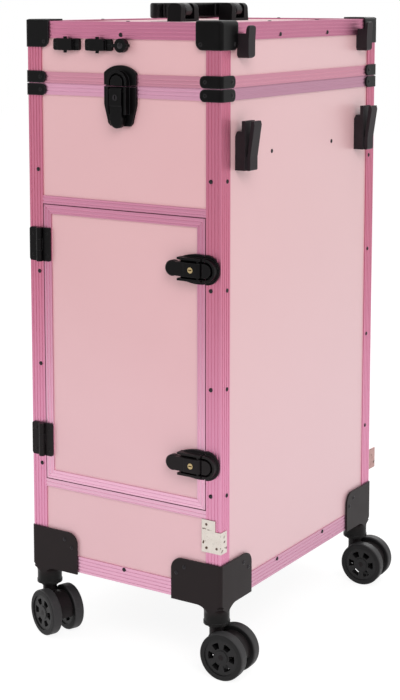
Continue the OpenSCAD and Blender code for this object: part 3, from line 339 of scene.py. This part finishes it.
# Black mouldings: corner caps, clips, feet, forks, hinges, latches, hooks, sockets and handle, injected
# in ABS with a spark-eroded mould, so the skin is dark, satin and very finely grained. The handle's bow
# comes from a polished mould and shines, and the hooks and sockets have a greyer pigment. Low down the
# mouldings are painted paler, as painted light from the white floor, and the feet darker below the case's
# bottom. Edges take a lighter grey, partly rubbing and partly a painted highlight.
def black_abs(name, pigments_and_painted_low_tone, satin, shine, corner, *fade):
    """Black ABS hazed between two pigments, which turn to a third tone near the floor or over the heights
    fade; where that tone is paler it is painted light from the white floor. Edges take a lighter grey,
    partly rubbing and partly a painted highlight. Its roughness runs over the two satin values, with that
    specular level and corner radius."""
    made, tree, at = surface(name)
    grain = add(tree, "TexNoise", {"Vector": at, "Scale": 1 / (0.7 * MM), "Detail": 3.0, "Roughness": 0.6})
    haze = add(tree, "TexNoise", {"Vector": at, "Scale": 1 / (22 * MM), "Detail": 2.0})
    tone = add(tree, "Mix", {"Factor": haze.outputs["Fac"], "A": linear(pigments_and_painted_low_tone[0]), "B": linear(pigments_and_painted_low_tone[1])},
               data_type="RGBA")
    # Lower down the tone turns to the third one: painted light from the white floor where it is paler.
    tone = add(tree, "Mix", {"Factor": painted_low_tone_share(tree, at, *fade), "A": tone.outputs["Result"],
                             "B": linear(pigments_and_painted_low_tone[2])}, data_type="RGBA")
    soft, edge = edges(tree, corner)
    # Edges turn a lighter grey, partly rubbing and partly a painted highlight.
    rubbed_and_highlit = add(tree, "Mix", {"Factor": edge, "A": tone.outputs["Result"], "B": linear("#343234")},
                 data_type="RGBA")
    rough = add(tree, "MapRange", {0: haze.outputs["Fac"], 1: 0.3, 2: 0.7, 3: satin[0], 4: satin[1]})
    bump = add(tree, "Bump", {"Height": grain.outputs["Fac"], "Strength": 0.1, "Distance": 0.15 * MM,
                              "Normal": soft})
    skin = add(tree, "BsdfPrincipled", {"Base Color": rubbed_and_highlit.outputs["Result"], "Roughness": rough.outputs[0],
                                        "Normal": bump.outputs[0], "IOR": 1.53, "Specular IOR Level": shine})
    add(tree, "OutputMaterial", {0: skin.outputs[0]})
    return made


# The third tone of each is taken low down: paler as painted light from the white floor, and on the feet
# darker below the case's bottom.
jet = ("#060506", "#0B0A0B", "#201C1D")
grey = ("#241E21", "#2C2629", "#2C2629")
footing = ("#221C1D", "#261F20", "#171616")
eroded, faint, tight = (0.3, 0.4), 0.107, 0.7 * MM
boss_fade = (case_low[2] - 3 * MM, case_low[2] - 16 * MM)
dress(black_abs("polished_black_abs", jet, (0.2, 0.26), 0.3, 3.5 * MM), "carry_handle")
dress(black_abs("soft_cornered_black_abs", jet, eroded, faint, 2.2 * MM), "lid_corner_caps",
      "lid_edge_clips", "body_edge_clips")
dress(black_abs("grey_black_abs", grey, eroded, faint, tight), "tray_sockets", "tray_hooks")
dress(black_abs("foot_black_abs", footing, eroded, faint, tight, *boss_fade), "foot_brackets")
dress(black_abs("moulded_black_abs", jet, eroded, faint, tight), "lid_latch_base", "lid_latch_keeper",
      "door_latch_bases", "door_latch_keepers", "lid_latch_lever", "upper_latch_lever", "lower_latch_lever",
      "door_hinge_frame_leaves", "door_hinge_leaves", "lid_hinge_body_leaves", "lid_hinge_leaves",
      "front_clips", "turn_button", "handle_brackets",
      "caster_fork_fl", "caster_fork_fr", "caster_fork_br", "caster_fork_bl")

# Screws: black-zinc steel with low domed heads and a cross recess, driven through edging, boards and
# feet. Every recess stopped at another angle. The turn button's pivot is a longer one with a wide seat.
HEAD_R, HEAD_RIM, HEAD_RISE = 2.3 * MM, 0.25 * MM, 0.65 * MM
ARM_LONG, ARM_HALF, RECESS = 1.3 * MM, 0.36 * MM, 0.45 * MM
ARM_END, ARM_EDGE = 0.3 * MM, 0.15 * MM
PIVOT_R, PIVOT_UP, PIVOT_RISE, PIVOT_RECESS = 3.6 * MM, 8.85 * MM, 1.35 * MM, 0.7 * MM
SHANK_R, SEAT_R, SEAT_UP = 2.0 * MM, 4.0 * MM, 2.75 * MM
RINGS, SPOKES = 11, 32


def turned(profile, places, ways, recess):
    """Solids of revolution: a profile of (radius, height) rows from the top pole to the bottom pole is
    turned round each outward way at each place. The recess sinks the rows by a cross whose two arms have
    soft edges; screw number i turns its cross by i golden angles."""
    places, ways = np.array(places), np.array(ways, float)
    up = np.where(np.abs(ways[:, 2:]) > 0.5, [[1.0, 0, 0]], [[0, 0, 1.0]])
    side = np.cross(up, ways)
    rho, height = np.array(profile)[1:-1].T
    turn = np.arange(SPOKES) * 2 * np.pi / SPOKES
    start = np.arange(len(places))[:, None, None] * np.pi * (3 - np.sqrt(5))
    a = np.abs(rho[None, :, None] * np.cos(turn + start))
    b = np.abs(rho[None, :, None] * np.sin(turn + start))
    arms = [np.clip((ARM_LONG - p) / ARM_END, 0, 1) * np.clip((ARM_HALF - q) / ARM_EDGE, 0, 1)
            for p, q in ((a, b), (b, a))]
    level = height[None, :, None] - recess * np.maximum(*arms) * (height > 0)[None, :, None]
    flat_u = (rho[:, None] * np.cos(turn))[None, ..., None]
    flat_v = (rho[:, None] * np.sin(turn))[None, ..., None]
    across = np.cross(ways, side)
    ring = (places[:, None, None] + flat_u * side[:, None, None] + flat_v * across[:, None, None]
            + level[..., None] * ways[:, None, None]).reshape(len(places), -1, 3)
    poles = [places + ways * (profile[0][1] - recess), places + ways * profile[-1][1]]
    points = np.concatenate([ring, poles[0][:, None], poles[1][:, None]], 1)
    count = len(rho) * SPOKES
    one = np.arange(count).reshape(len(rho), SPOKES)
    nxt = np.roll(one, -1, 1)
    quads = np.stack([one[:-1], one[1:], nxt[1:], nxt[:-1]], -1).reshape(-1, 4)
    top = np.stack([np.full(SPOKES, count), one[0], nxt[0]], -1)
    foot = np.stack([np.full(SPOKES, count + 1), nxt[-1], one[-1]], -1)
    shift = np.arange(len(places))[:, None, None] * (count + 2)
    walls = (quads[None] + shift).reshape(-1, 4)
    ends = (np.concatenate([top, foot])[None] + shift).reshape(-1, 3)
    return points.reshape(-1, 3), walls.tolist() + ends.tolist()


def piece(name, points, faces, material, body, *nodes):
    """A smooth mesh object at the origin that rides on a body and stands for the named CAD nodes."""
    made = bpy.data.objects.new(name, bpy.data.meshes.new(name))
    made.data.from_pydata(np.asarray(points).tolist(), [], faces)
    made.data.polygons.foreach_set("use_smooth", np.ones(len(faces), bool))
    made.data.materials.append(material)
    scene.collection.objects.link(made)
    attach(made, body)
    if nodes:
        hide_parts(*nodes)
    return made


steel, tree, at = surface("black_zinc_steel")
haze = add(tree, "TexNoise", {"Vector": at, "Scale": 1 / (1.2 * MM), "Detail": 3.0})
tone = add(tree, "Mix", {"Factor": haze.outputs["Fac"], "A": linear("#2A282A"), "B": linear("#454245")},
           data_type="RGBA")
skin = add(tree, "BsdfPrincipled", {"Base Color": tone.outputs["Result"], "Metallic": 1.0, "Roughness": 0.36})
add(tree, "OutputMaterial", {0: skin.outputs[0]})


def seats(name, middle):
    """The separate solids of a CAD node, found by passing the least label on across shared corners. Each
    is a place, a way and a size: it faces out from the middle along its shortest side, and sits at its
    foot."""
    mesh = frame["nodes"][name].data
    mesh.calc_loop_triangles()
    spots, index = np.unique(np.array([v.co for v in mesh.vertices]).round(6), axis=0, return_inverse=True)
    corners = index.reshape(-1)[np.array([t.vertices for t in mesh.loop_triangles])]
    label = np.arange(len(spots))
    while not (label[corners] == label[corners].min(1, keepdims=True)).all():
        np.minimum.at(label, corners, label[corners].min(1, keepdims=True))
    solids = [spots[label == k] for k in np.unique(label)]
    low, high = np.array([s.min(0) for s in solids]), np.array([s.max(0) for s in solids])
    size, centre = high - low, (low + high) / 2
    short = np.eye(3)[size.argmin(1)]
    ways = short * np.sign(centre - middle)
    return centre - ways * size / 2, ways, size


span = np.linspace(0, 1, RINGS)
dome = [(HEAD_R * q, HEAD_RIM + HEAD_RISE * (1 - q * q)) for q in span] + [(HEAD_R, 0.0), (0.0, 0.0)]
places, ways, _ = seats("body_screws", case_mid)
made = piece("body_screw_heads", *turned(dome, places, ways, RECESS), steel, "case", "body_screws")

lid_mid = [(lid_low[i] + lid_high[i]) / 2 for i in range(3)]
places, ways, size = seats("lid_screws", lid_mid)
heads = size.max(1) < 3 * HEAD_R
points, faces = turned(dome, places[heads], ways[heads], RECESS)
cap = [(PIVOT_R * q, PIVOT_UP + PIVOT_RISE * (1 - q * q)) for q in span]
shank = [(SHANK_R, PIVOT_UP), (SHANK_R, SEAT_UP), (SEAT_R, SEAT_UP), (SEAT_R, 0.0), (0.0, 0.0)]
joints = {joint["name"]: joint for joint in frame["joints"]}
turn = joints["button_turn"]["pos_m"]
pivot_at = [(turn[0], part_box("lid_front_panel")[0][1], turn[2])]
pivot, pivot_faces = turned(cap + shank, pivot_at, [(0, -1, 0)], PIVOT_RECESS)
faces += [[corner + len(points) for corner in face] for face in pivot_faces]
made = piece("lid_screw_heads", np.concatenate([points, pivot]), faces, steel, "lid", "lid_screws")

# Seat tongue: a low lip along the body's top edging, drawn in one with it just behind its face and cut
# away for the latch. The lid closes over it, so the split shows rose metal and no dark slit.
TONGUE_IN, TONGUE_THICK, TONGUE_PLAY = 0.6 * MM, 1.0 * MM, 0.15 * MM


def lip(low, high, gap, foot, top, thick):
    """A rectangular strip carried round a box from one end of a gap in its front to the other. Station s
    of the path has four points 4 s + k: outer foot, outer top, inner top, inner foot. Each station joins
    the next all round, and the two ends are capped."""
    x, y = (low[0], high[0]), (low[1], high[1])
    outer = np.array([(gap[1], y[0]), (x[1], y[0]), (x[1], y[1]), (x[0], y[1]), (x[0], y[0]),
                      (gap[0], y[0])])
    inward = np.array([(0, 1), (-1, 1), (-1, -1), (1, -1), (1, 1), (0, 1)]) * thick
    ring = np.stack([outer, outer, outer + inward, outer + inward], 1)
    level = np.broadcast_to([foot, top, top, foot], ring.shape[:2])
    points = np.dstack([ring, level]).reshape(-1, 3)
    s, k = np.meshgrid(np.arange(len(outer) - 1), np.arange(4), indexing="ij")
    nxt = (k + 1) % 4
    sides = np.stack([4 * s + k, 4 * s + 4 + k, 4 * s + 4 + nxt, 4 * s + nxt], -1).reshape(-1, 4)
    return points, sides.tolist() + [[0, 1, 2, 3], [4 * len(outer) - n for n in (1, 2, 3, 4)]]


latch_low, latch_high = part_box("lid_latch_base")
points, faces = lip(np.add(case_low, TONGUE_IN), np.subtract(case_high, TONGUE_IN),
                    (latch_low[0], latch_high[0]), case_high[2], lid_low[2] - TONGUE_PLAY, TONGUE_THICK)
made = piece("seat_tongue", points, faces, skirting, "case")
made.data.polygons.foreach_set("use_smooth", np.zeros(len(faces), bool))

# Bright fittings: caster stems, corner plate and rear bracket, pressed from steel strip and zinc
# plated. The plating is pale and a little cloudy. On the corner plate it has worn through in small
# brown stains and off the rivets, and the rear bracket is coloured a rosy brown.
rivet_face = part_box("corner_plate")[0][1] + 0.5 * MM


def plated(name, dull, bright, worn):
    """Zinc plate clouded between two tones. Stains go brown where a noise of 5 mm grain passes worn."""
    made, tree, at = surface(name)
    cloud = add(tree, "TexNoise", {"Vector": at, "Scale": 1 / (7 * MM), "Detail": 4.0})
    tone = add(tree, "Mix", {"Factor": cloud.outputs["Fac"], "A": linear(dull), "B": linear(bright)},
               data_type="RGBA")
    speck = add(tree, "TexNoise", {"Vector": at, "Scale": 1 / (5 * MM), "Detail": 2.0})
    bare = add(tree, "MapRange", {0: speck.outputs["Fac"], 1: worn, 2: worn + 0.06, 3: 0.0, 4: 1.0})
    front = add(tree, "SeparateXYZ", {0: at}).outputs[1]
    rivet = add(tree, "Math", {0: front, 1: rivet_face}, operation="LESS_THAN")
    bare = add(tree, "Math", {0: bare.outputs[0], 1: rivet.outputs[0]}, operation="MAXIMUM")
    tone = add(tree, "Mix", {"Factor": bare.outputs[0], "A": tone.outputs["Result"], "B": linear("#5E4A42")},
               data_type="RGBA")
    rough = add(tree, "MapRange", {0: cloud.outputs["Fac"], 1: 0.3, 2: 0.7, 3: 0.24, 4: 0.4})
    soft = add(tree, "Bevel", {"Radius": 0.4 * MM}, samples=4)
    skin = add(tree, "BsdfPrincipled", {"Base Color": tone.outputs["Result"], "Metallic": 1.0,
                                        "Roughness": rough.outputs[0], "Normal": soft.outputs[0]})
    add(tree, "OutputMaterial", {0: skin.outputs[0]})
    return made


dress(plated("zinc_plated_steel", "#C6BDB5", "#EFE7DE", 0.635), "corner_plate")
dress(plated("dull_zinc_steel", "#B08E88", "#DCC6BE", 0.7), "caster_stems")
dress(plated("tarnished_zinc_steel", "#8F625F", "#D3ADA8", 0.62), "rear_bracket")

# Key plugs: turned cylinders with a key slot, held in the latch levers. The door's two are brass, and
# the lid's is steel in the same black zinc as the screws.
brass, tree, at = surface("turned_brass")
cloud = add(tree, "TexNoise", {"Vector": at, "Scale": 1 / (1.5 * MM), "Detail": 3.0})
tone = add(tree, "Mix", {"Factor": cloud.outputs["Fac"], "A": linear("#8E7145"), "B": linear("#D9C79A")},
           data_type="RGBA")
skin = add(tree, "BsdfPrincipled", {"Base Color": tone.outputs["Result"], "Metallic": 1.0, "Roughness": 0.25})
add(tree, "OutputMaterial", {0: skin.outputs[0]})
dress(brass, "upper_latch_plug", "lower_latch_plug")
dress(steel, "lid_latch_plug")

# Wheels: polypropylene discs moulded in one piece with a softer tread ring, so the ring is a shade
# darker and duller than the dished web, and its tread is painted a lighter grey as painted light.
RING_WIDE, TREAD_DEEP, SEAM, TREAD_LIGHT_BLEND = 6 * MM, 0.9 * MM, 0.4 * MM, 0.5 * MM
for place in ("fl", "fr", "br", "bl"):
    axle = joints["roll_" + place + "_a"]
    made, tree, at = surface("moulded_wheel_" + place)
    off = add(tree, "VectorMath", {0: at, 1: axle["pos_m"]}, operation="SUBTRACT")
    across = add(tree, "VectorMath", {0: off.outputs[0], 1: axle["axis"]}, operation="CROSS_PRODUCT")
    radius = add(tree, "VectorMath", {0: across.outputs[0]}, operation="LENGTH")
    ring_r = axle["pos_m"][2] - RING_WIDE
    ring = add(tree, "MapRange", {0: radius.outputs["Value"], 1: ring_r - SEAM, 2: ring_r + SEAM,
                                  3: 0.0, 4: 1.0})
    tread_r = axle["pos_m"][2] - TREAD_DEEP
    # Painted light: the tread turns a lighter grey.
    tread = add(tree, "MapRange", {0: radius.outputs["Value"], 1: tread_r - TREAD_LIGHT_BLEND, 2: tread_r + TREAD_LIGHT_BLEND,
                                   3: 0.0, 4: 1.0})
    grain = add(tree, "TexNoise", {"Vector": at, "Scale": 1 / (0.8 * MM), "Detail": 3.0})
    tone = add(tree, "Mix", {"Factor": ring.outputs[0], "A": linear("#1D1C1D"), "B": linear("#161516")},
               data_type="RGBA")
    tone = add(tree, "Mix", {"Factor": tread.outputs[0], "A": tone.outputs["Result"], "B": linear("#363536")},
               data_type="RGBA")
    rough = add(tree, "MapRange", {0: ring.outputs[0], 1: 0.0, 2: 1.0, 3: 0.38, 4: 0.55})
    soft = add(tree, "Bevel", {"Radius": 0.5 * MM}, samples=4)
    bump = add(tree, "Bump", {"Height": grain.outputs["Fac"], "Strength": 0.12, "Distance": 0.15 * MM,
                              "Normal": soft.outputs[0]})
    skin = add(tree, "BsdfPrincipled", {"Base Color": tone.outputs["Result"], "Roughness": rough.outputs[0],
                                        "Normal": bump.outputs[0], "Specular IOR Level": 0.25})
    add(tree, "OutputMaterial", {0: skin.outputs[0]})
    dress(made, "wheel_" + place + "_a", "wheel_" + place + "_b")
